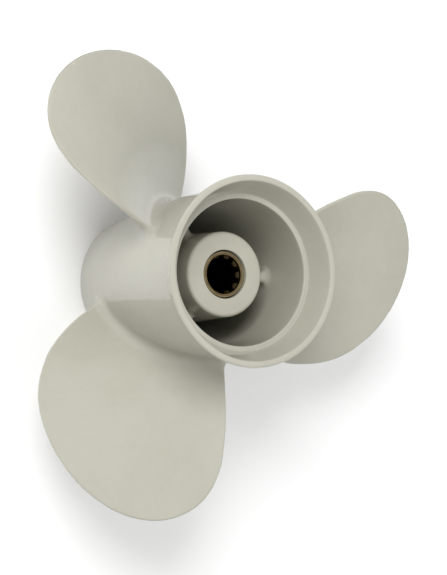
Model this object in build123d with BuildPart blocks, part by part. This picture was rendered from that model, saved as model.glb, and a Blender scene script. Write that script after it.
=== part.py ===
from build123d import *
from math import atan2, cos, hypot, pi, radians, sin, sqrt
import os

# Three-blade outboard propeller with a through-hub exhaust barrel and a rubber slip hub.
# Millimetres. +Z points aft along the shaft, Z = 0 is the thrust face at the front of the
# splined sleeve, and +X runs through the first rib.

# Blades
BLADES = 3
DIAMETER = 250.8            # 9-7/8 in
PITCH = 262.0               # right-hand, at MID_R
PITCH_FALL = 3.6            # mm of rise per radian lost from MID_R to the tip
RAKE = 0.183                # mm aft per mm of radius
RAKE_CURVE = 3.1            # forward sweep of the face at the root and the tip
CAMBER = 3.3                # mm of face hollow per radian squared at MID_R
CAMBER_GAIN = 10.7          # and its growth from MID_R to the tip
BLADE_TURN = 6.5            # first blade's tip line from +X, degrees
TIP_SKEW = 8.5              # tip line ahead of the blade's middle line, degrees
FACE_SETBACK = 59.0         # pressure face on the middle line at FACE_R, from the rear rim
FACE_STANDOFF = 3.2         # FACE_R outside the barrel
ROOT_THICK = 9.0
TIP_THICK = 2.4
EDGE_THICK = 1.8
FOOT_FLARE = 4.5            # how far the cast foot spreads each way at the barrel
FOOT_HEIGHT = 9.0
FACE_STEPS = 16
FOOT_ROWS = 8               # outline rows near the barrel that get a section halfway to the next
# Blade outline: distance out along the tip line, leading edge and trailing edge,
# all as fractions of the tip radius
OUTLINE = (
    (0.175, -0.203, 0.081),
    (0.207, -0.237, 0.096),
    (0.239, -0.269, 0.110),
    (0.271, -0.298, 0.124),
    (0.303, -0.322, 0.138),
    (0.335, -0.343, 0.152),
    (0.367, -0.362, 0.166),
    (0.399, -0.379, 0.180),
    (0.439, -0.398, 0.197),
    (0.510, -0.423, 0.225),
    (0.590, -0.433, 0.251),
    (0.670, -0.428, 0.272),
    (0.742, -0.404, 0.281),
    (0.805, -0.366, 0.275),
    (0.861, -0.319, 0.256),
    (0.909, -0.263, 0.223),
    (0.945, -0.205, 0.183),
    (0.973, -0.143, 0.136),
    (0.990, -0.085, 0.084),
    (0.998, -0.035, 0.035),
)

# Splined sleeve
SLEEVE_LENGTH = 69.0
SLEEVE_WALL = 2.0           # outside the spline roots
PILOT_RELIEF = 0.3          # pilot bore outside the spline roots
PILOT_LENGTH = 10.0
LEAD_IN_LENGTH = 2.0
SPLINE_TEETH = 10
SPLINE_ROOT_R = 9.4
SPLINE_TIP_R = 7.9
SPLINE_MOUTH = 3.3          # groove width at the tooth tips
SPLINE_FLOOR = 2.5          # groove width at the tooth roots

# Rubber bush, thickest at the front
RUBBER_FRONT = 9.1
RUBBER_REAR = 6.1
BUSH_SETBACK = 2.0          # bush front face behind the hub's front face
BUSH_END_GAP = 0.5          # bush rear face to the hub's lip
SLIP_GAP = 0.05             # radial, between the bush and the hub it slips in

# Inner hub
HUB_FRONT_Z = 3.0
HUB_PROUD = 1.3             # hub rear face behind the sleeve's rear face
HUB_WALL_FRONT = 4.5
HUB_WALL_REAR = 3.5
HUB_LIP = 6.0
SLEEVE_EYE_GAP = 0.6        # radial, sleeve to the hole in the hub's lip

# Barrel
FRONT_Z = -22.0
HUB_DEPTH = 28.7            # hub rear face in from the barrel's rear rim
PASSAGE_FRONT = 6.5         # radial gap from the hub to the barrel, for the exhaust
PASSAGE_REAR = 14.6
WALL_FRONT = 4.9
WALL_REAR = 6.2
FLARE_RISE = 4.8
FLARE_LENGTH = 11.0
RIM_WALL = 3.7
DIFFUSER_DEPTH = 12.4
LEDGE_WIDTH = 2.3
RECESS_STEP = 1.5
RECESS_DEPTH = 18.0

# Ribs
RIBS = 3
RIB_THICK = 5.0
RIB_FRONT_INSET = 5.0       # rib ends in from the hub's two faces
RIB_REAR_INSET = 16.3
RIB_HUB_FILLET = 2.0
RIB_BARREL_FILLET = 3.5
RIB_SINK = 0.6              # how far a rib blank reaches past the walls before trimming

# Radii, from the spline outward
SLEEVE_R = SPLINE_ROOT_R + SLEEVE_WALL
PILOT_R = SPLINE_ROOT_R + PILOT_RELIEF
BUSH_FRONT_R = SLEEVE_R + RUBBER_FRONT
BUSH_REAR_R = SLEEVE_R + RUBBER_REAR
HUB_FRONT_R = BUSH_FRONT_R + HUB_WALL_FRONT
HUB_REAR_R = BUSH_REAR_R + HUB_WALL_REAR
EYE_R = SLEEVE_R + SLEEVE_EYE_GAP
BORE_FRONT_R = HUB_FRONT_R + PASSAGE_FRONT
BORE_REAR_R = HUB_REAR_R + PASSAGE_REAR
RECESS_R = BORE_FRONT_R + RECESS_STEP
LEDGE_OUTER_R = BORE_REAR_R + LEDGE_WIDTH
FRONT_R = BORE_FRONT_R + WALL_FRONT
BODY_R = BORE_REAR_R + WALL_REAR
RIM_R = BODY_R + FLARE_RISE
RIM_INNER_R = RIM_R - RIM_WALL
FACE_R = BODY_R + FACE_STANDOFF
TIP_R = DIAMETER / 2
MID_R = (FACE_R + TIP_R) / 2

# Heights, from the sleeve aft
HUB_REAR_Z = SLEEVE_LENGTH + HUB_PROUD
REAR_Z = HUB_REAR_Z + HUB_DEPTH
FACE_Z = REAR_Z - FACE_SETBACK
LENGTH = REAR_Z - FRONT_Z
SEAM = radians(56.0)        # turned profiles start in the gap between two blades
SEAM_PLANE = Plane(origin=(0, 0, 0), x_dir=(cos(SEAM), sin(SEAM), 0),
                   z_dir=(sin(SEAM), -cos(SEAM), 0))


def between(a, b, share):
    return a + (b - a) * share


def bore_r(z):
    """Barrel's main bore, which narrows forward for the casting core."""
    front = FRONT_Z + RECESS_DEPTH
    rear = REAR_Z - DIFFUSER_DEPTH
    return between(BORE_FRONT_R, BORE_REAR_R, (z - front) / (rear - front))


def hub_r(z):
    return between(HUB_FRONT_R, HUB_REAR_R, (z - HUB_FRONT_Z) / (HUB_REAR_Z - HUB_FRONT_Z))


def bush_seat_r(z):
    rear = HUB_REAR_Z - HUB_LIP
    return between(BUSH_FRONT_R, BUSH_REAR_R, (z - HUB_FRONT_Z) / (rear - HUB_FRONT_Z))


def corners_at(vertices, spots):
    """The sketch corners at the given (radius, z) spots."""
    return [min(vertices, key=lambda v: hypot(v.X - r, v.Y - z)) for r, z in spots]


def body_line():
    """Outside of the barrel from its front rim to the start of the rear flare."""
    return Spline((FRONT_R, FRONT_Z),
                  (between(FRONT_R, BODY_R, 0.57), FRONT_Z + 0.235 * LENGTH),
                  (between(FRONT_R, BODY_R, 0.89), FRONT_Z + 0.487 * LENGTH),
                  (between(FRONT_R, BODY_R, 0.99), FRONT_Z + 0.723 * LENGTH),
                  (BODY_R, REAR_Z - FLARE_LENGTH))


def face_point(x, y):
    """Height of the pressure face: a raked helicoid, hollowed along the chord."""
    turn = atan2(y, x) + radians(TIP_SKEW)
    out = (hypot(x, y) - MID_R) / (TIP_R - MID_R)
    rise = PITCH * turn / (2 * pi) - PITCH_FALL * turn * out
    hollow = (CAMBER + CAMBER_GAIN * out) * turn ** 2
    return FACE_Z + rise + RAKE * (hypot(x, y) - FACE_R) - RAKE_CURVE * out ** 2 - hollow


def across(x, y):
    """Unit (y, z) direction through the blade, from pressure face to suction face."""
    slope = face_point(x, y + 0.5) - face_point(x, y - 0.5)
    size = sqrt(1 + slope * slope)
    return slope / size, -1 / size


def foot(x, y):
    """Spread of the cast foot, which dies away over its height above the barrel."""
    height = min(max(hypot(x, y) - BODY_R, -1.0), FOOT_HEIGHT)
    return FOOT_FLARE * (1 - height / FOOT_HEIGHT) ** 2


def section_rows():
    rows = [OUTLINE[0]]
    for index, row in enumerate(OUTLINE[1:]):
        if index < FOOT_ROWS:
            rows.append(tuple(between(a, b, 0.5) for a, b in zip(rows[-1], row)))
        rows.append(row)
    return rows


def blade_section(x, lead, trail):
    """Pressure points, suction points and the two rounded edges at one distance out."""
    share = (x - BODY_R) / (TIP_R - BODY_R)
    middle = between(ROOT_THICK, TIP_THICK, share)
    edge = min(EDGE_THICK, 0.8 * middle) / 2
    start = lead + edge * abs(across(x, lead)[1])
    end = trail - edge * abs(across(x, trail)[1])
    pressure = []
    suction = []
    for step in range(FACE_STEPS + 1):
        along = (1 - cos(pi * step / FACE_STEPS)) / 2
        y = between(start, end, along)
        z = face_point(x, y)
        dy, dz = across(x, y)
        thick = 2 * edge + (middle - 2 * edge) * 4 * along * (1 - along)
        spread = foot(x, y)
        pressure.append((y - spread * dy, z - spread * dz))
        suction.append((y + (thick + spread) * dy, z + (thick + spread) * dz))
    noses = []
    for step, y, side in ((0, start, -1), (FACE_STEPS, end, 1)):
        dy, dz = across(x, y)
        reach = side * (edge + foot(x, y))
        mid_y = (pressure[step][0] + suction[step][0]) / 2
        mid_z = (pressure[step][1] + suction[step][1]) / 2
        noses.append((pressure[step], (mid_y - reach * dz, mid_z + reach * dy), suction[step]))
    return pressure, suction, noses


# Solid outline of the barrel, used to trim what is cast onto it
with BuildPart() as barrel_envelope:
    with BuildSketch(SEAM_PLANE):
        with BuildLine():
            Line((0, FRONT_Z), (FRONT_R, FRONT_Z))
            body_line()
            Line((BODY_R, REAR_Z - FLARE_LENGTH), (RIM_R, REAR_Z))
            Line((RIM_R, REAR_Z), (0, REAR_Z))
            Line((0, REAR_Z), (0, FRONT_Z))
        make_face()
    revolve(axis=Axis.Z)

with BuildPart() as barrel:
    with BuildSketch(SEAM_PLANE) as barrel_profile:
        with BuildLine():
            body_line()
            Polyline((BODY_R, REAR_Z - FLARE_LENGTH),
                     (RIM_R, REAR_Z),
                     (RIM_INNER_R, REAR_Z),
                     (LEDGE_OUTER_R, REAR_Z - DIFFUSER_DEPTH),
                     (BORE_REAR_R, REAR_Z - DIFFUSER_DEPTH),
                     (BORE_FRONT_R, FRONT_Z + RECESS_DEPTH),
                     (RECESS_R, FRONT_Z + RECESS_DEPTH),
                     (RECESS_R, FRONT_Z),
                     (FRONT_R, FRONT_Z))
        make_face()
        for radius, spots in (
            (1.5, [(FRONT_R, FRONT_Z)]),
            (1.3, [(RIM_R, REAR_Z)]),
            (1.0, [(RIM_INNER_R, REAR_Z)]),
            (0.6, [(RECESS_R, FRONT_Z)]),
            (0.8, [(BORE_REAR_R, REAR_Z - DIFFUSER_DEPTH),
                   (LEDGE_OUTER_R, REAR_Z - DIFFUSER_DEPTH)]),
        ):
            fillet(corners_at(barrel_profile.vertices(), spots), radius=radius)
    revolve(axis=Axis.Z)
barrel.part.label = "barrel"

with BuildPart() as inner_hub:
    with BuildSketch(SEAM_PLANE) as hub_profile:
        with BuildLine():
            Polyline((HUB_FRONT_R, HUB_FRONT_Z),
                     (HUB_REAR_R, HUB_REAR_Z),
                     (EYE_R, HUB_REAR_Z),
                     (EYE_R, HUB_REAR_Z - HUB_LIP),
                     (BUSH_REAR_R, HUB_REAR_Z - HUB_LIP),
                     (BUSH_FRONT_R, HUB_FRONT_Z),
                     close=True)
        make_face()
        for radius, spots in (
            (1.8, [(HUB_REAR_R, HUB_REAR_Z)]),
            (1.2, [(HUB_FRONT_R, HUB_FRONT_Z)]),
            (0.6, [(EYE_R, HUB_REAR_Z), (BUSH_FRONT_R, HUB_FRONT_Z)]),
        ):
            fillet(corners_at(hub_profile.vertices(), spots), radius=radius)
    revolve(axis=Axis.Z)
inner_hub.part.label = "inner_hub"

bush_front = HUB_FRONT_Z + BUSH_SETBACK
bush_rear = HUB_REAR_Z - HUB_LIP - BUSH_END_GAP
with BuildPart() as rubber_bush:
    with BuildSketch(SEAM_PLANE) as bush_profile:
        with BuildLine():
            Polyline((SLEEVE_R, bush_front),
                     (bush_seat_r(bush_front) - SLIP_GAP, bush_front),
                     (bush_seat_r(bush_rear) - SLIP_GAP, bush_rear),
                     (SLEEVE_R, bush_rear),
                     close=True)
        make_face()
        ends = [(bush_seat_r(z) - SLIP_GAP, z) for z in (bush_front, bush_rear)]
        fillet(corners_at(bush_profile.vertices(), ends), radius=1.5)
    revolve(axis=Axis.Z)
rubber_bush.part.label = "rubber_bush"

with BuildPart() as spline_sleeve:
    Cylinder(SLEEVE_R, SLEEVE_LENGTH, align=(Align.CENTER, Align.CENTER, Align.MIN))
    rims = spline_sleeve.edges().filter_by(GeomType.CIRCLE)
    chamfer(rims, length=0.5)
    with BuildSketch(Plane.XY):
        Circle(SPLINE_TIP_R)
        # Grooves start half a step round, so that a tooth lines up with the first rib
        with PolarLocations(0, SPLINE_TEETH, start_angle=180 / SPLINE_TEETH):
            Polygon((SPLINE_TIP_R - 0.5, -SPLINE_MOUTH / 2),
                    (SPLINE_ROOT_R, -SPLINE_FLOOR / 2),
                    (SPLINE_ROOT_R, SPLINE_FLOOR / 2),
                    (SPLINE_TIP_R - 0.5, SPLINE_MOUTH / 2),
                    align=None)
    extrude(amount=SLEEVE_LENGTH, mode=Mode.SUBTRACT)
    for z, depth in ((0, PILOT_LENGTH), (SLEEVE_LENGTH, -LEAD_IN_LENGTH)):
        with BuildSketch(Plane.XY.offset(z)):
            Circle(PILOT_R)
        extrude(amount=depth, mode=Mode.SUBTRACT)
spline_sleeve.part.label = "spline_sleeve"


# Space between the inner hub and the barrel, which the ribs cross
with BuildPart() as rib_space:
    with BuildSketch(SEAM_PLANE):
        with BuildLine():
            Polyline((hub_r(HUB_FRONT_Z), HUB_FRONT_Z),
                     (hub_r(HUB_REAR_Z), HUB_REAR_Z),
                     (bore_r(HUB_REAR_Z), HUB_REAR_Z),
                     (bore_r(HUB_FRONT_Z), HUB_FRONT_Z),
                     close=True)
        make_face()
    revolve(axis=Axis.Z)

ribs = []
for index in range(RIBS):
    with BuildPart() as rib:
        for z in (HUB_FRONT_Z + RIB_FRONT_INSET, HUB_REAR_Z - RIB_REAR_INSET):
            half = RIB_THICK / 2
            inner = hub_r(z)
            outer = bore_r(z)
            with BuildSketch(Plane.XY.offset(z)):
                with BuildLine():
                    for side in (-1, 1):
                        low = (inner + RIB_HUB_FILLET, side * half)
                        high = (outer - RIB_BARREL_FILLET, side * half)
                        low_end = (inner - RIB_SINK, side * (half + RIB_HUB_FILLET))
                        high_end = (outer + RIB_SINK, side * (half + RIB_BARREL_FILLET))
                        TangentArc(low, low_end, tangent=(-1, 0))
                        Line(low, high)
                        TangentArc(high, high_end, tangent=(1, 0))
                    for x, reach in ((inner - RIB_SINK, RIB_HUB_FILLET),
                                     (outer + RIB_SINK, RIB_BARREL_FILLET)):
                        Line((x, -half - reach), (x, half + reach))
                make_face()
        loft()
        add(rib_space.part, mode=Mode.INTERSECT)
    turned = rib.part.rotate(Axis.Z, 360 / RIBS * index)
    turned.label = f"rib_{index + 1}"
    ribs.append(turned)

with BuildPart() as blade:
    for out, lead, trail in section_rows():
        pressure, suction, noses = blade_section(out * TIP_R, lead * TIP_R, trail * TIP_R)
        with BuildSketch(Plane(origin=(out * TIP_R, 0, 0), x_dir=(0, 1, 0), z_dir=(1, 0, 0))):
            with BuildLine():
                Spline(*pressure)
                Spline(*suction)
                for nose in noses:
                    ThreePointArc(*nose)
            make_face()
    loft()
    add(barrel_envelope.part.rotate(Axis.Z, -BLADE_TURN), mode=Mode.SUBTRACT)

blades = []
for index in range(BLADES):
    turned = blade.part.rotate(Axis.Z, BLADE_TURN + 360 / BLADES * index)
    turned.label = f"blade_{index + 1}"
    blades.append(turned)

os.makedirs("parts", exist_ok=True)
for piece in [barrel.part, inner_hub.part, rubber_bush.part, spline_sleeve.part] + ribs + blades:
    export_step(piece, f"parts/{piece.label}.step")
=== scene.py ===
"""Outboard propeller: painted alloy casting, rubber slip bush and splined brass sleeve.

Metres, in the CAD frame: +Z aft along the shaft, Z = 0 at the sleeve's thrust face.
"""

import math

import bpy
import numpy as np
from mathutils import Matrix, Vector


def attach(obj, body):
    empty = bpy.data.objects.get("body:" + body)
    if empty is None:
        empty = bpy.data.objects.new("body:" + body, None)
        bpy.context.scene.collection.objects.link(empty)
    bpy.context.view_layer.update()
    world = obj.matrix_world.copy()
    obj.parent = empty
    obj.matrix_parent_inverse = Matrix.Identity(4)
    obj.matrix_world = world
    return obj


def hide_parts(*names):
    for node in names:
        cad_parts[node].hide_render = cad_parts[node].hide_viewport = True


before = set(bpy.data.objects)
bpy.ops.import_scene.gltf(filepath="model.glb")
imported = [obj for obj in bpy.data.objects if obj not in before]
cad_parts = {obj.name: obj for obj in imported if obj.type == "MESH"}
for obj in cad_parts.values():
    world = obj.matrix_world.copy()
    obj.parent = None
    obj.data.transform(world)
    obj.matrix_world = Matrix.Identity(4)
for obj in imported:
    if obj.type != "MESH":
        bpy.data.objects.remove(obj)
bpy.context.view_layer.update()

MM = 0.001
LIGHT_AIM = Vector((0, 0, 0.05))

# ---------------------------------------------------------------- dimensions, mm
TIP_R = 125.4
PITCH, PITCH_FALL = 262.0, 3.6      # rise per turn at mid-blade, and mm per radian lost by the tip
RAKE, RAKE_CURVE = 0.183, 3.1       # mm aft per mm of radius, and the sweep at root and tip
CAMBER, CAMBER_GAIN = 3.3, 10.7     # mm of hollow per radian squared at mid-blade, and its growth
BLADE_TURN, TIP_SKEW = 6.5, 8.5     # tip line from +X, and ahead of the blade's middle, degrees
FACE_Z, FACE_R = 40.0, 45.0
MID_R = (FACE_R + TIP_R) / 2
ROOT_THICK, TIP_THICK, EDGE_THICK = 9.0, 2.6, 2.0
FOOT_R = 7.0
CHORD_STEPS, SPAN_STEPS = 64, 61
ROOT_LEAD_Z, ROOT_TRAIL_Z = 15.0, 65.0   # first guess of where a row's ends meet the barrel,
ROOT_PASSES = 12                         # and how often it is corrected

FRONT_Z, REAR_Z = -22.0, 99.0
FRONT_R, BODY_R, RIM_R, RIM_INNER_R = 36.4, 41.8, 46.6, 42.9
FLARE_Z = REAR_Z - 11.0
LEDGE_Z, LEDGE_OUTER_R = REAR_Z - 12.4, 37.9
BORE_REAR_R, BORE_FRONT_R, STEP_Z, RECESS_R = 35.6, 31.5, -4.0, 33.0

HUB_FRONT_Z, HUB_REAR_Z = 3.0, 70.3
HUB_FRONT_R, HUB_REAR_R = 25.0, 21.0
LIP, EYE_R = 6.0, 12.0
SEAT_FRONT_R, SEAT_REAR_R = 20.5, 17.5
SLEEVE_R, SLEEVE_LENGTH = 11.4, 69.0
PILOT_R, PILOT_LENGTH, LEAD_IN = 9.7, 10.0, 2.0
TEETH, ROOT_R, TOOTH_R = 10, 9.4, 7.9
TOOTH_HALF, TOOTH_FLANK = 0.30, 0.085   # a tooth's half foot and its flank, in tooth steps
GROOVE_OUTER_R, GROOVE_INNER_R, GROOVE_DEPTH = 10.65, 10.2, 0.6


# ---------------------------------------------------------------- camera and light
def add_camera():
    """A long lens above the rear end, looking down along the shaft at about 31 degrees."""
    tilt, lean = 0.532, 0.092
    distance, across, up = 631.6, -15.4, -7.9
    n = Vector((math.sin(tilt) * math.cos(lean), math.sin(tilt) * math.sin(lean), math.cos(tilt)))
    turn = Vector((0, 0, 1)).rotation_difference(n).to_matrix()
    eye = Vector((0, 0, REAR_Z)) + turn.transposed() @ Vector((across, up, distance))
    data = bpy.data.cameras.new("camera")
    data.lens = 83.7
    data.sensor_width = 36.0
    data.sensor_fit = "AUTO"
    data.clip_start = 0.01
    cam = bpy.data.objects.new("camera", data)
    cam.matrix_world = Matrix.Translation(eye * MM) @ turn.transposed().to_4x4()
    bpy.context.scene.collection.objects.link(cam)
    bpy.context.scene.camera = cam


def add_area(name, where, size, power):
    """A square soft light aimed at the object, which shows in no reflection."""
    data = bpy.data.lights.new(name, "AREA")
    data.shape = "SQUARE"
    data.size = size
    data.energy = power
    lamp = bpy.data.objects.new(name, data)
    lamp.location = where
    lamp.visible_glossy = False
    lamp.rotation_euler = (LIGHT_AIM - where).to_track_quat("-Z", "Y").to_euler()
    bpy.context.scene.collection.objects.link(lamp)


# ---------------------------------------------------------------- mesh helpers
def make_object(name, verts, faces):
    """A smooth-shaded mesh from millimetre points."""
    mesh = bpy.data.meshes.new(name)
    mesh.from_pydata([tuple(v) for v in np.asarray(verts) * MM], [], faces)
    mesh.validate()
    mesh.polygons.foreach_set("use_smooth", [True] * len(mesh.polygons))
    mesh.update()
    obj = bpy.data.objects.new(name, mesh)
    bpy.context.scene.collection.objects.link(obj)
    return obj


def rounded(points, radii, steps=8):
    """Closed (r, z) polygon with its corners rounded by tangent arcs."""
    out = []
    count = len(points)
    for i, (corner, radius) in enumerate(zip(points, radii)):
        p = np.array(corner, float)
        if radius <= 0:
            out.append(tuple(p))
            continue
        a = np.array(points[i - 1], float) - p
        b = np.array(points[(i + 1) % count], float) - p
        la, lb = np.linalg.norm(a), np.linalg.norm(b)
        a, b = a / la, b / lb
        half = math.acos(np.clip(a @ b, -1, 1)) / 2
        reach = min(radius / math.tan(half), 0.49 * la, 0.49 * lb)
        radius = reach * math.tan(half)
        middle = (a + b) / np.linalg.norm(a + b)
        centre = p + middle * radius / math.sin(half)
        start = p + a * reach - centre
        end = p + b * reach - centre
        s, e = math.atan2(start[1], start[0]), math.atan2(end[1], end[0])
        sweep = (e - s + math.pi) % (2 * math.pi) - math.pi
        for k in range(steps + 1):
            t = s + sweep * k / steps
            out.append((centre[0] + radius * math.cos(t), centre[1] + radius * math.sin(t)))
    return out


def densify(profile, longest):
    """Extra points on long straight runs, so that shading and bump have something to hold."""
    out = []
    for i, p in enumerate(profile):
        q = profile[(i + 1) % len(profile)]
        n = max(1, math.ceil(math.dist(p, q) / longest))
        out += [(p[0] + (q[0] - p[0]) * k / n, p[1] + (q[1] - p[1]) * k / n) for k in range(n)]
    return out


def revolve(name, profile, segments=256):
    """A closed (r, z) loop turned about the shaft axis."""
    rings = len(profile)
    turn = np.linspace(0, 2 * np.pi, segments, endpoint=False)
    r = np.array([p[0] for p in profile])
    z = np.array([p[1] for p in profile])
    verts = np.stack([np.outer(np.cos(turn), r), np.outer(np.sin(turn), r),
                      np.tile(z, (segments, 1))], 2).reshape(-1, 3)
    area = sum(profile[i - 1][0] * profile[i][1] - profile[i][0] * profile[i - 1][1]
               for i in range(rings))
    faces = []
    for s in range(segments):
        t = (s + 1) % segments
        for i in range(rings):
            j = (i + 1) % rings
            quad = (s * rings + i, t * rings + i, t * rings + j, s * rings + j)
            faces.append(quad[::-1] if area < 0 else quad)
    return make_object(name, verts, faces)


# ---------------------------------------------------------------- barrel
def body_r(z):
    """Barrel's outside between the front rim and the rear flare."""
    length = REAR_Z - FRONT_Z
    knots = [(FRONT_Z, 0.0), (FRONT_Z + 0.235 * length, 0.57), (FRONT_Z + 0.487 * length, 0.89),
             (FRONT_Z + 0.723 * length, 0.99), (FLARE_Z, 1.0)]
    zs = np.array([k[0] for k in knots])
    rs = FRONT_R + (BODY_R - FRONT_R) * np.array([k[1] for k in knots])
    slopes = np.gradient(rs, zs)
    slopes[-1] = 0.0
    i = np.clip(np.searchsorted(zs, z) - 1, 0, len(zs) - 2)
    h = zs[i + 1] - zs[i]
    t = np.clip((z - zs[i]) / h, 0, 1)
    return ((2 * t**3 - 3 * t**2 + 1) * rs[i] + (t**3 - 2 * t**2 + t) * h * slopes[i]
            + (-2 * t**3 + 3 * t**2) * rs[i + 1] + (t**3 - t**2) * h * slopes[i + 1])


def barrel_mesh():
    outside = [(float(body_r(z)), z) for z in np.linspace(FRONT_Z + 3, FLARE_Z - 3, 44)]
    points = outside + [(BODY_R, FLARE_Z), (RIM_R, REAR_Z), (RIM_INNER_R, REAR_Z),
                        (LEDGE_OUTER_R, LEDGE_Z), (BORE_REAR_R, LEDGE_Z),
                        (BORE_FRONT_R, STEP_Z), (RECESS_R, STEP_Z),
                        (RECESS_R, FRONT_Z), (FRONT_R, FRONT_Z)]
    radii = [0] * len(outside) + [2.0, 1.3, 1.0, 0.9, 0.8, 0.6, 0.5, 0.6, 1.6]
    return revolve("barrel_shell", densify(rounded(points, radii), 3.0), 288)


def hub_r(z):
    return HUB_FRONT_R + (HUB_REAR_R - HUB_FRONT_R) * (z - HUB_FRONT_Z) / (HUB_REAR_Z - HUB_FRONT_Z)


def bore_r(z):
    return BORE_FRONT_R + (BORE_REAR_R - BORE_FRONT_R) * (z - STEP_Z) / (LEDGE_Z - STEP_Z)


def hub_mesh():
    points = [(HUB_FRONT_R, HUB_FRONT_Z), (HUB_REAR_R, HUB_REAR_Z), (EYE_R, HUB_REAR_Z),
              (EYE_R, HUB_REAR_Z - LIP), (SEAT_REAR_R, HUB_REAR_Z - LIP),
              (SEAT_FRONT_R, HUB_FRONT_Z)]
    radii = [1.2, 1.8, 0.5, 0, 0, 0.6]
    return revolve("inner_hub_shell", densify(rounded(points, radii), 3.0), 192)


# ---------------------------------------------------------------- blades
# Blade outline: radius in mm, leading edge and trailing edge in degrees from the tip line
OUTLINE = (
    (34.0, -48.8, 24.6), (41.5, -48.6, 24.5), (49.0, -47.9, 24.4), (56.0, -46.6, 24.2),
    (63.0, -45.0, 24.0), (70.0, -43.3, 23.7), (77.0, -41.5, 23.3), (83.0, -39.7, 22.8),
    (89.0, -37.4, 22.3), (95.0, -34.9, 21.6), (101.0, -31.8, 20.4), (106.0, -28.5, 19.1),
    (110.5, -24.8, 17.5), (114.5, -21.0, 15.6), (118.0, -17.0, 13.3), (121.0, -12.7, 10.7),
    (123.4, -8.2, 7.6), (124.9, -4.0, 4.0), (125.4, 0.0, 0.0),
)


def smooth_through(points, per_span):
    """A natural cubic spline through the points, by chord length."""
    p = np.array(points, float)
    h = np.linalg.norm(np.diff(p, axis=0), axis=1)
    n = len(p)
    a = np.zeros((n, n))
    b = np.zeros((n, p.shape[1]))
    a[0, 0] = a[-1, -1] = 1.0
    for i in range(1, n - 1):
        a[i, i - 1:i + 2] = h[i - 1], 2 * (h[i - 1] + h[i]), h[i]
        b[i] = 6 * ((p[i + 1] - p[i]) / h[i] - (p[i] - p[i - 1]) / h[i - 1])
    m = np.linalg.solve(a, b)
    out = []
    for i in range(n - 1):
        for t in np.linspace(0, 1, per_span, endpoint=False):
            u, v = (1 - t) * h[i], t * h[i]
            out.append((m[i] * u**3 + m[i + 1] * v**3) / (6 * h[i])
                       + (p[i] / h[i] - m[i] * h[i] / 6) * u
                       + (p[i + 1] / h[i] - m[i + 1] * h[i] / 6) * v)
    out.append(p[-1])
    return np.array(out)


def outline_curve():
    """Both edges as one smooth line in polar form: radius, angle in radians."""
    lead = [(r * math.cos(math.radians(a)), r * math.sin(math.radians(a))) for r, a, _ in OUTLINE]
    trail = [(r * math.cos(math.radians(a)), r * math.sin(math.radians(a))) for r, _, a in OUTLINE]
    line = smooth_through(lead + trail[-2::-1], 16)
    radius = np.hypot(line[:, 0], line[:, 1])
    angle = np.arctan2(line[:, 1], line[:, 0])
    return radius, angle, int(np.argmax(radius))


def face_z(angle, r):
    """Height of the pressure face: a raked helicoid, hollowed along the chord."""
    turn = angle + math.radians(TIP_SKEW)
    out = (r - MID_R) / (TIP_R - MID_R)
    rise = PITCH * turn / (2 * np.pi) - PITCH_FALL * turn * out
    hollow = (CAMBER + CAMBER_GAIN * out) * turn ** 2
    return FACE_Z + rise + RAKE * (r - FACE_R) - RAKE_CURVE * out ** 2 - hollow


def face_slope(angle, r):
    """Rise of the pressure face for each mm round the arc."""
    step = 0.001
    return (face_z(angle + step, r) - face_z(angle - step, r)) / (2 * step * r)


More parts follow.
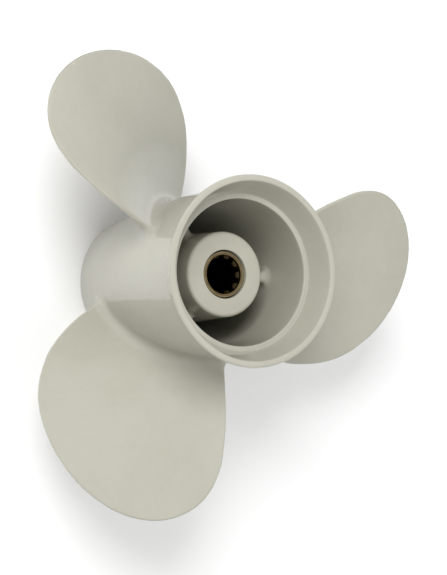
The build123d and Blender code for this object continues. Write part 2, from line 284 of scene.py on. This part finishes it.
def blade_mesh():
    """One blade, its tip line along +X: closed rows from the barrel's skin out to the tip."""
    edge_r, edge_a, tip = outline_curve()
    top = edge_r[tip]
    lead_r, lead_a = edge_r[:tip + 1], edge_a[:tip + 1]
    trail_r, trail_a = edge_r[tip:][::-1], edge_a[tip:][::-1]
    across = (1 - np.cos(np.pi * np.arange(CHORD_STEPS + 1) / CHORD_STEPS)) / 2
    nose = EDGE_THICK / 2

    foot = [(FOOT_R * (1 - math.sin(p) ** 0.9), FOOT_R * (1 - math.cos(p) ** 0.9))
            for p in np.radians(np.linspace(0, 90, 19))]
    # Each row is how far it spreads, and its height over the barrel: two sunk in its skin first
    rows = [(FOOT_R - 1.0, -1.4), (FOOT_R + 0.8, -0.10)] + foot
    full = top - BODY_R
    for s in np.linspace(0, 0.992, SPAN_STEPS + 1)[1:]:
        rows.append((0.0, FOOT_R + (full - FOOT_R) * (1 - (1 - s) ** 2)))

    verts = []
    for spread, height in rows:
        share = height / full
        z_l, z_t = ROOT_LEAD_Z, ROOT_TRAIL_Z
        for _ in range(ROOT_PASSES):
            r_l = body_r(z_l) * (1 - share) + top * share
            r_t = body_r(z_t) * (1 - share) + top * share
            lead = np.interp(r_l, lead_r, lead_a)
            trail = np.interp(r_t, trail_r, trail_a)
            z_l, z_t = face_z(lead, r_l), face_z(trail, r_t)
        angle = lead + (trail - lead) * across
        r = r_l + (r_t - r_l) * across
        slope = face_slope(angle, r)
        size = np.sqrt(1 + slope**2)
        gap = np.hypot(r[:, None] - edge_r[None], (r * size)[:, None]
                       * (angle[:, None] - edge_a[None])).min(1)
        curl = np.sqrt(np.clip(1 - (1 - np.clip(gap / nose, 0, 1)) ** 2, 0, 1))
        middle = ROOT_THICK + (TIP_THICK - ROOT_THICK) * np.clip((r - BODY_R) / (TIP_R - BODY_R), 0, 1)
        thick = 2 * nose + (middle - 2 * nose) * 4 * across * (1 - across)
        near = nose * (1 - curl)
        far = thick - nose * (1 - curl)
        arc_len = r * angle
        z = face_z(angle, r)
        near_side = np.stack([arc_len + near * slope / size, z - near / size], 1)
        far_side = np.stack([arc_len + far * slope / size, z - far / size], 1)
        loop = np.vstack([near_side, far_side[-2:0:-1]])
        radius = np.concatenate([r, r[-2:0:-1]])
        if spread > 0:
            ahead, behind = np.roll(loop, -1, 0), np.roll(loop, 1, 0)
            run = ahead - behind
            out = np.stack([-run[:, 1], run[:, 0]], 1)
            out /= np.linalg.norm(out, axis=1)[:, None]
            centre = loop.mean(0)
            if ((loop - centre) * out).sum() < 0:
                out = -out
            loop = loop + out * spread
        theta = loop[:, 0] / radius
        radius = body_r(loop[:, 1]) * (1 - share) + top * share
        verts.append(np.stack([radius * np.cos(theta), radius * np.sin(theta), loop[:, 1]], 1))
    return close_rows(np.array(verts))


def close_rows(rows):
    """Faces for a stack of equal closed rows, capped at both ends, as (points, faces)."""
    count, ring = rows.shape[:2]
    points = rows.reshape(-1, 3).tolist()
    faces = []
    for i in range(count - 1):
        for j in range(ring):
            k = (j + 1) % ring
            faces.append((i * ring + j, i * ring + k, (i + 1) * ring + k, (i + 1) * ring + j))
    for base, flip in ((0, True), ((count - 1) * ring, False)):
        points.append(rows.reshape(-1, 3)[base:base + ring].mean(0).tolist())
        hub = len(points) - 1
        for j in range(ring):
            k = (j + 1) % ring
            tri = (base + j, base + k, hub)
            faces.append(tri[::-1] if flip else tri)
    p = np.array(points)
    volume = 0.0
    for f in faces:
        for a, b in zip(f[1:-1], f[2:]):
            volume += np.dot(p[f[0]], np.cross(p[a], p[b]))
    if volume < 0:
        faces = [f[::-1] for f in faces]
    return p, faces


def turned(points, degrees):
    c, s = math.cos(math.radians(degrees)), math.sin(math.radians(degrees))
    return points @ np.array([[c, s, 0], [-s, c, 0], [0, 0, 1]])


# ---------------------------------------------------------------- ribs
def rib_mesh(front=8.0, rear=54.0, thick=5.0, corner=1.6, hub_fillet=2.2, bore_fillet=4.0):
    """A web from the inner hub to the barrel's bore, its lines rounding into both."""
    loop = rounded([(-thick / 2, front), (thick / 2, front), (thick / 2, rear), (-thick / 2, rear)],
                   [corner] * 4, 7)
    loop = np.array(densify(loop, 2.5))
    run = np.roll(loop, -1, 0) - np.roll(loop, 1, 0)
    out = np.stack([run[:, 1], -run[:, 0]], 1)
    out /= np.linalg.norm(out, axis=1)[:, None]
    quarter = np.radians(np.linspace(0, 90, 9))
    rows = [(hub_fillet + 0.3, 0, -0.5)]
    rows += [(hub_fillet * (1 - math.sin(q)), 0, hub_fillet * (1 - math.cos(q)) - 0.02)
             for q in quarter]
    rows += [(bore_fillet * (1 - math.sin(q)), 1, 0.02 - bore_fillet * (1 - math.cos(q)))
             for q in quarter[::-1]]
    rows += [(bore_fillet + 0.3, 1, 0.5)]
    verts = []
    for spread, wall, step in rows:
        flat = loop + out * spread
        r = (bore_r(flat[:, 1]) if wall else hub_r(flat[:, 1])) + step
        angle = flat[:, 0] / r
        verts.append(np.stack([r * np.cos(angle), r * np.sin(angle), flat[:, 1]], 1))
    return close_rows(np.array(verts))


# ---------------------------------------------------------------- sleeve
def sleeve_mesh():
    """Splined sleeve: plain outside, ten teeth inside between a front pilot and a rear lead-in."""
    steps = 24
    count = TEETH * steps
    angle = np.linspace(0, 2 * np.pi, count, endpoint=False)
    phase = (angle * TEETH / (2 * np.pi)) % 1.0
    near = np.minimum(phase, 1 - phase)
    tooth = np.clip((TOOTH_HALF - near) / TOOTH_FLANK, 0, 1)
    tooth = tooth * tooth * (3 - 2 * tooth)
    spline = ROOT_R - (ROOT_R - TOOTH_R) * tooth
    plain = np.full(count, 1.0)
    rows = [(plain * (SLEEVE_R - 0.5), 0.0), (plain * (SLEEVE_R - 0.12), 0.1),
            (plain * SLEEVE_R, 0.5)]
    rows += [(plain * SLEEVE_R, z) for z in np.linspace(4, SLEEVE_LENGTH - 4, 8)]
    rows += [(plain * SLEEVE_R, SLEEVE_LENGTH - 0.5), (plain * (SLEEVE_R - 0.12), SLEEVE_LENGTH - 0.1),
             (plain * (SLEEVE_R - 0.35), SLEEVE_LENGTH), (plain * (GROOVE_OUTER_R + 0.1), SLEEVE_LENGTH),
             (plain * GROOVE_OUTER_R, SLEEVE_LENGTH - 0.1),
             (plain * (GROOVE_OUTER_R - 0.1), SLEEVE_LENGTH - GROOVE_DEPTH),
             (plain * (GROOVE_INNER_R + 0.1), SLEEVE_LENGTH - GROOVE_DEPTH),
             (plain * GROOVE_INNER_R, SLEEVE_LENGTH - 0.1),
             (plain * (GROOVE_INNER_R - 0.1), SLEEVE_LENGTH),
             (plain * (PILOT_R + 0.2), SLEEVE_LENGTH - 0.02),
             (plain * PILOT_R, SLEEVE_LENGTH - 0.3),
             (plain * PILOT_R, SLEEVE_LENGTH - LEAD_IN + 0.25),
             (plain * (PILOT_R - 0.1), SLEEVE_LENGTH - LEAD_IN),
             (np.maximum(spline, ROOT_R - 0.55), SLEEVE_LENGTH - LEAD_IN - 0.3),
             (spline, SLEEVE_LENGTH - LEAD_IN - 1.2)]
    rows += [(spline, z) for z in np.linspace(SLEEVE_LENGTH - 6, PILOT_LENGTH + 4, 8)]
    rows += [(spline, PILOT_LENGTH + 0.4), (np.maximum(spline, ROOT_R - 0.4), PILOT_LENGTH + 0.1),
             (plain * (PILOT_R - 0.1), PILOT_LENGTH), (plain * PILOT_R, PILOT_LENGTH - 0.2),
             (plain * PILOT_R, 0.5), (plain * (PILOT_R + 0.15), 0.12),
             (plain * (PILOT_R + 0.5), 0.0)]
    ring = len(rows)
    verts = []
    for r, z in rows:
        verts += [(q * math.cos(a), q * math.sin(a), z) for q, a in zip(r, angle)]
    faces = []
    for i in range(ring):
        n = (i + 1) % ring
        for j in range(count):
            k = (j + 1) % count
            faces.append((i * count + j, i * count + k, n * count + k, n * count + j))
    return np.array(verts), faces


# ---------------------------------------------------------------- materials
def new_material(name):
    mat = bpy.data.materials.new(name)
    mat.use_nodes = True
    tree = mat.node_tree
    shader = next(n for n in tree.nodes if n.type == "BSDF_PRINCIPLED")
    return mat, tree, shader


def node(tree, kind, **values):
    made = tree.nodes.new(kind)
    for key, value in values.items():
        if key in made.inputs:
            made.inputs[key].default_value = value
        else:
            setattr(made, key, value)
    return made


def noise(tree, scale, detail=4.0, roughness=0.55, stretch=None):
    """Noise in the object's own metres, so its grain keeps its real size."""
    place = tree.nodes.new("ShaderNodeTexCoord")
    made = node(tree, "ShaderNodeTexNoise", Scale=scale, Detail=detail, Roughness=roughness)
    if stretch:
        mapping = tree.nodes.new("ShaderNodeMapping")
        mapping.inputs["Scale"].default_value = stretch
        tree.links.new(place.outputs["Object"], mapping.inputs["Vector"])
        tree.links.new(mapping.outputs["Vector"], made.inputs["Vector"])
    else:
        tree.links.new(place.outputs["Object"], made.inputs["Vector"])
    return made.outputs["Fac"]


def ramp(tree, source, stops):
    made = tree.nodes.new("ShaderNodeValToRGB")
    line = made.color_ramp
    while len(line.elements) < len(stops):
        line.elements.new(0.5)
    for element, (at, colour) in zip(line.elements, stops):
        element.position = at
        element.color = (*colour, 1.0) if len(colour) == 3 else colour
    tree.links.new(source, made.inputs["Fac"])
    return made.outputs["Color"]


def span(tree, source, low, high, to_low, to_high):
    made = node(tree, "ShaderNodeMapRange")
    for key, value in (("From Min", low), ("From Max", high), ("To Min", to_low), ("To Max", to_high)):
        made.inputs[key].default_value = value
    tree.links.new(source, made.inputs["Value"])
    return made.outputs["Result"]


def mix(tree, share, a, b, kind="MIX"):
    made = tree.nodes.new("ShaderNodeMix")
    made.data_type = "RGBA"
    made.blend_type = kind
    for socket, value in ((made.inputs["Factor"], share), (made.inputs["A"], a), (made.inputs["B"], b)):
        if isinstance(value, (int, float, tuple)):
            socket.default_value = value
        else:
            tree.links.new(value, socket)
    return made.outputs["Result"]


def radius_mask(tree, low, high):
    """0 inside one distance from the shaft axis, rising to 1 at another."""
    place = tree.nodes.new("ShaderNodeTexCoord")
    flat = node(tree, "ShaderNodeVectorMath", operation="MULTIPLY")
    flat.inputs[1].default_value = (1.0, 1.0, 0.0)
    tree.links.new(place.outputs["Object"], flat.inputs[0])
    size = node(tree, "ShaderNodeVectorMath", operation="LENGTH")
    tree.links.new(flat.outputs[0], size.inputs[0])
    return span(tree, size.outputs["Value"], low, high, 0.0, 1.0)


def bump(tree, shader, *layers):
    """Stacked bumps, each a (height, distance in metres, strength)."""
    last = None
    for height, distance, strength in layers:
        made = node(tree, "ShaderNodeBump", Distance=distance, Strength=strength)
        tree.links.new(height, made.inputs["Height"])
        if last:
            tree.links.new(last, made.inputs["Normal"])
        last = made.outputs["Normal"]
    tree.links.new(last, shader.inputs["Normal"])


PAINT = (0.400, 0.392, 0.330)
PAINT_WARM = (0.375, 0.365, 0.302)


def paint_material():
    """Satin-gloss paint over a sand-cast surface: slow tone drift, orange peel, sharp edges lighter from
    wear and a painted highlight.
    """
    mat, tree, shader = new_material("propeller_paint")
    drift = noise(tree, 22.0, 3.0)
    mottle = noise(tree, 260.0, 5.0, 0.6)
    tone = ramp(tree, drift, [(0.35, PAINT_WARM), (0.62, PAINT)])
    fine = ramp(tree, mottle, [(0.30, (0.955, 0.955, 0.95)), (0.70, (1.0, 1.0, 1.0))])
    colour = mix(tree, 0.8, tone, fine, "MULTIPLY")
    # Sharp edges are painted lighter: partly worn thin paint, partly a painted edge highlight.
    edges = node(tree, "ShaderNodeNewGeometry").outputs["Pointiness"]
    worn_edge_highlight = span(tree, edges, 0.56, 0.66, 0.0, 0.35)
    colour = mix(tree, worn_edge_highlight, colour, (0.70, 0.69, 0.62, 1.0))
    specks = noise(tree, 900.0, 2.0, 0.5)
    spot = span(tree, specks, 0.76, 0.80, 0.0, 0.35)
    colour = mix(tree, spot, colour, (0.36, 0.34, 0.28, 1.0))
    tree.links.new(colour, shader.inputs["Base Color"])
    rough = span(tree, noise(tree, 70.0, 4.0), 0.3, 0.7, 0.42, 0.52)
    tree.links.new(rough, shader.inputs["Roughness"])
    shader.inputs["IOR"].default_value = 1.5
    shader.inputs["Coat Weight"].default_value = 1.0
    shader.inputs["Coat Roughness"].default_value = 0.05
    peel = noise(tree, 520.0, 2.0, 0.45)
    cast = noise(tree, 95.0, 3.0, 0.5)
    bump(tree, shader, (peel, 0.00002, 0.25), (cast, 0.00006, 0.25))
    return mat


def brass_material():
    mat, tree, shader = new_material("sleeve_brass")
    drift = noise(tree, 160.0, 4.0)
    tone = ramp(tree, drift, [(0.3, (0.40, 0.31, 0.17)), (0.7, (0.60, 0.49, 0.30))])
    turned_marks = noise(tree, 240.0, 3.0, 0.6, (1.0, 1.0, 14.0))
    # Painted shade: the brass is darkened inside the splined bore, over the teeth and pilot.
    bore_shade = mix(tree, radius_mask(tree, 0.0093, 0.0101), (0.075, 0.055, 0.028, 1.0), tone)
    tree.links.new(bore_shade, shader.inputs["Base Color"])
    shader.inputs["Metallic"].default_value = 1.0
    tree.links.new(span(tree, drift, 0.3, 0.7, 0.24, 0.38), shader.inputs["Roughness"])
    bump(tree, shader, (turned_marks, 0.00003, 0.4))
    return mat


def rubber_material():
    mat, tree, shader = new_material("bush_rubber")
    tone = ramp(tree, noise(tree, 140.0, 4.0),
                [(0.3, (0.010, 0.010, 0.011)), (0.7, (0.022, 0.022, 0.022))])
    tree.links.new(tone, shader.inputs["Base Color"])
    tree.links.new(span(tree, noise(tree, 400.0), 0.3, 0.7, 0.6, 0.8), shader.inputs["Roughness"])
    bump(tree, shader, (noise(tree, 1500.0, 2.0), 0.00004, 0.4))
    return mat


def floor_material():
    mat, tree, shader = new_material("floor_paper")
    tone = ramp(tree, noise(tree, 3.0, 2.0), [(0.3, (0.90, 0.90, 0.90)), (0.7, (0.92, 0.92, 0.92))])
    tree.links.new(tone, shader.inputs["Base Color"])
    shader.inputs["Roughness"].default_value = 0.8
    return mat


# ---------------------------------------------------------------- build
add_camera()
paint = paint_material()
brass = brass_material()
rubber = rubber_material()
paper = floor_material()


def place(obj, material, body, slot, *nodes):
    obj.data.materials.append(material)
    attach(obj, body)
    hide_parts(*nodes)
    return obj


place(barrel_mesh(), paint, "casting", "painted_alloy", "barrel")
place(hub_mesh(), paint, "casting", "painted_alloy", "inner_hub")
blade_points, blade_faces = blade_mesh()
rib_points, rib_faces = rib_mesh()
for index in range(3):
    blade = make_object(f"blade_{index + 1}_cast",
                        turned(blade_points, BLADE_TURN + 120 * index), blade_faces)
    place(blade, paint, "casting", "painted_alloy", f"blade_{index + 1}")
    rib = make_object(f"rib_{index + 1}_cast", turned(rib_points, 120 * index), rib_faces)
    place(rib, paint, "casting", "painted_alloy", f"rib_{index + 1}")
place(make_object("sleeve_broached", *sleeve_mesh()), brass, "shaft_core", "sleeve_brass",
      "spline_sleeve")
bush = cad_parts["rubber_bush"]
bush.data.materials.clear()
bush.data.materials.append(rubber)

floor_mesh = bpy.data.meshes.new("floor")
floor_mesh.from_pydata([(-6, -6, 0), (6, -6, 0), (6, 6, 0), (-6, 6, 0)], [], [(0, 1, 2, 3)])
floor = bpy.data.objects.new("floor", floor_mesh)
floor.location = (0, 0, FRONT_Z * MM)
bpy.context.scene.collection.objects.link(floor)
floor.data.materials.append(paper)

add_area("key", Vector((-0.50, 0.45, 0.90)), 0.5, 10.0)
add_area("fill", Vector((0.25, -0.55, 1.2)), 1.2, 6.5)
world = bpy.data.worlds.new("studio")
world.use_nodes = True
world.node_tree.nodes["Background"].inputs["Color"].default_value = (1, 1, 1, 1)
world.node_tree.nodes["Background"].inputs["Strength"].default_value = 0.55
bpy.context.scene.world = world
bpy.context.scene.view_settings.view_transform = "Standard"
